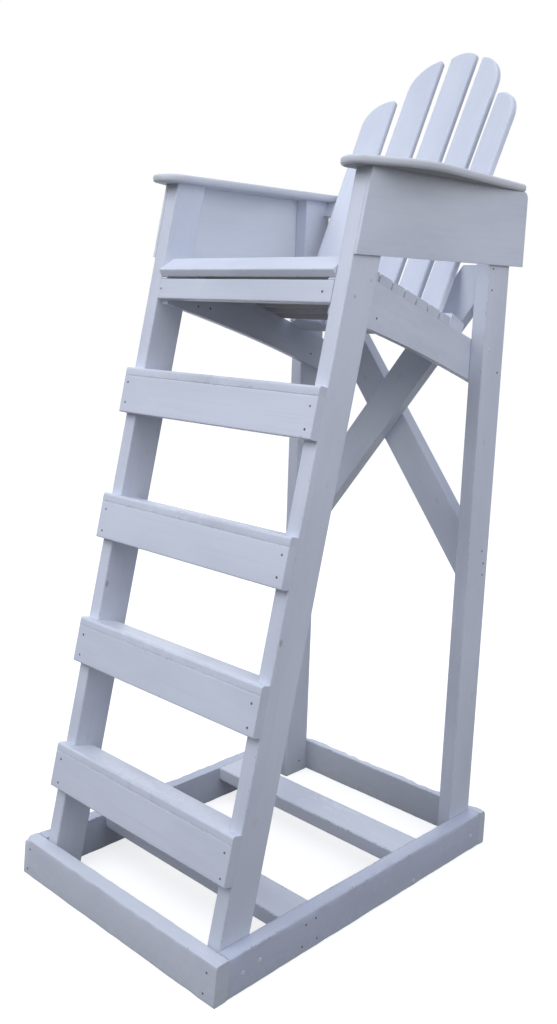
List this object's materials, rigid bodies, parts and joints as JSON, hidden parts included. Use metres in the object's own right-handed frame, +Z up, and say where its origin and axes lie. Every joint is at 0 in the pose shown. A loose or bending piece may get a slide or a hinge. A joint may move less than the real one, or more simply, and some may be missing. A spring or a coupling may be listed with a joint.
{
  "type": "lifeguard tower",
  "caption": "Open-frame wooden lifeguard tower: a high slatted seat with armrests, reached by a ladder of stepped boards up leaning front legs, cross-braced at the rear.",
  "frame": {"origin": "middle of the bounding box on the ground", "axes": "+Z up, the ladder side faces -Y, +X is the right side seen from the front"},
  "size_m": [0.7742, 1.211, 2.1034],
  "materials": {
    "arm_paint": "white outdoor paint, brushed, a little worn",
    "back_paint": "white outdoor paint, brushed, a little worn",
    "base_paint": "white outdoor paint, brushed, a little worn",
    "brace_paint": "white outdoor paint, brushed, a little worn",
    "leg_paint": "white outdoor paint, brushed, a little worn",
    "post_paint": "white outdoor paint, brushed, a little worn",
    "rung_paint": "white outdoor paint, brushed, a little worn",
    "seat_paint": "white outdoor paint, brushed, a little worn",
    "stringer_paint": "white outdoor paint, brushed, a little worn"
  },
  "bodies": {
    "root": {"arm_panel_left": "arm_paint", "arm_panel_right": "arm_paint", "armrest_left": "arm_paint", "armrest_right": "arm_paint", "back_rail_lower": "seat_paint", "back_rail_upper": "seat_paint", "back_slat_1": "back_paint", "back_slat_2": "back_paint", "back_slat_3": "back_paint", "back_slat_4": "back_paint", "back_slat_5": "back_paint", "base_back_board": "base_paint", "base_front_board": "base_paint", "base_front_slat": "base_paint", "base_left_board": "base_paint", "base_middle_slat": "base_paint", "base_right_board": "base_paint", "brace_front": "brace_paint", "brace_rear": "brace_paint", "front_leg_left": "leg_paint", "front_leg_right": "leg_paint", "rear_post_left": "post_paint", "rear_post_right": "post_paint", "rung_1": "rung_paint", "rung_2": "rung_paint", "rung_3": "rung_paint", "rung_4": "rung_paint", "seat_front_rail": "seat_paint", "seat_slat_1": "seat_paint", "seat_slat_2": "seat_paint", "seat_slat_3": "seat_paint", "seat_slat_4": "seat_paint", "seat_slat_5": "seat_paint", "seat_slat_6": "seat_paint", "seat_slat_7": "seat_paint", "seat_slat_8": "seat_paint", "seat_slat_9": "seat_paint", "seat_stringer_left": "stringer_paint", "seat_stringer_right": "stringer_paint", "tread_1": "rung_paint", "tread_2": "rung_paint", "tread_3": "rung_paint", "tread_4": "rung_paint"}
  },
  "joints": []
}
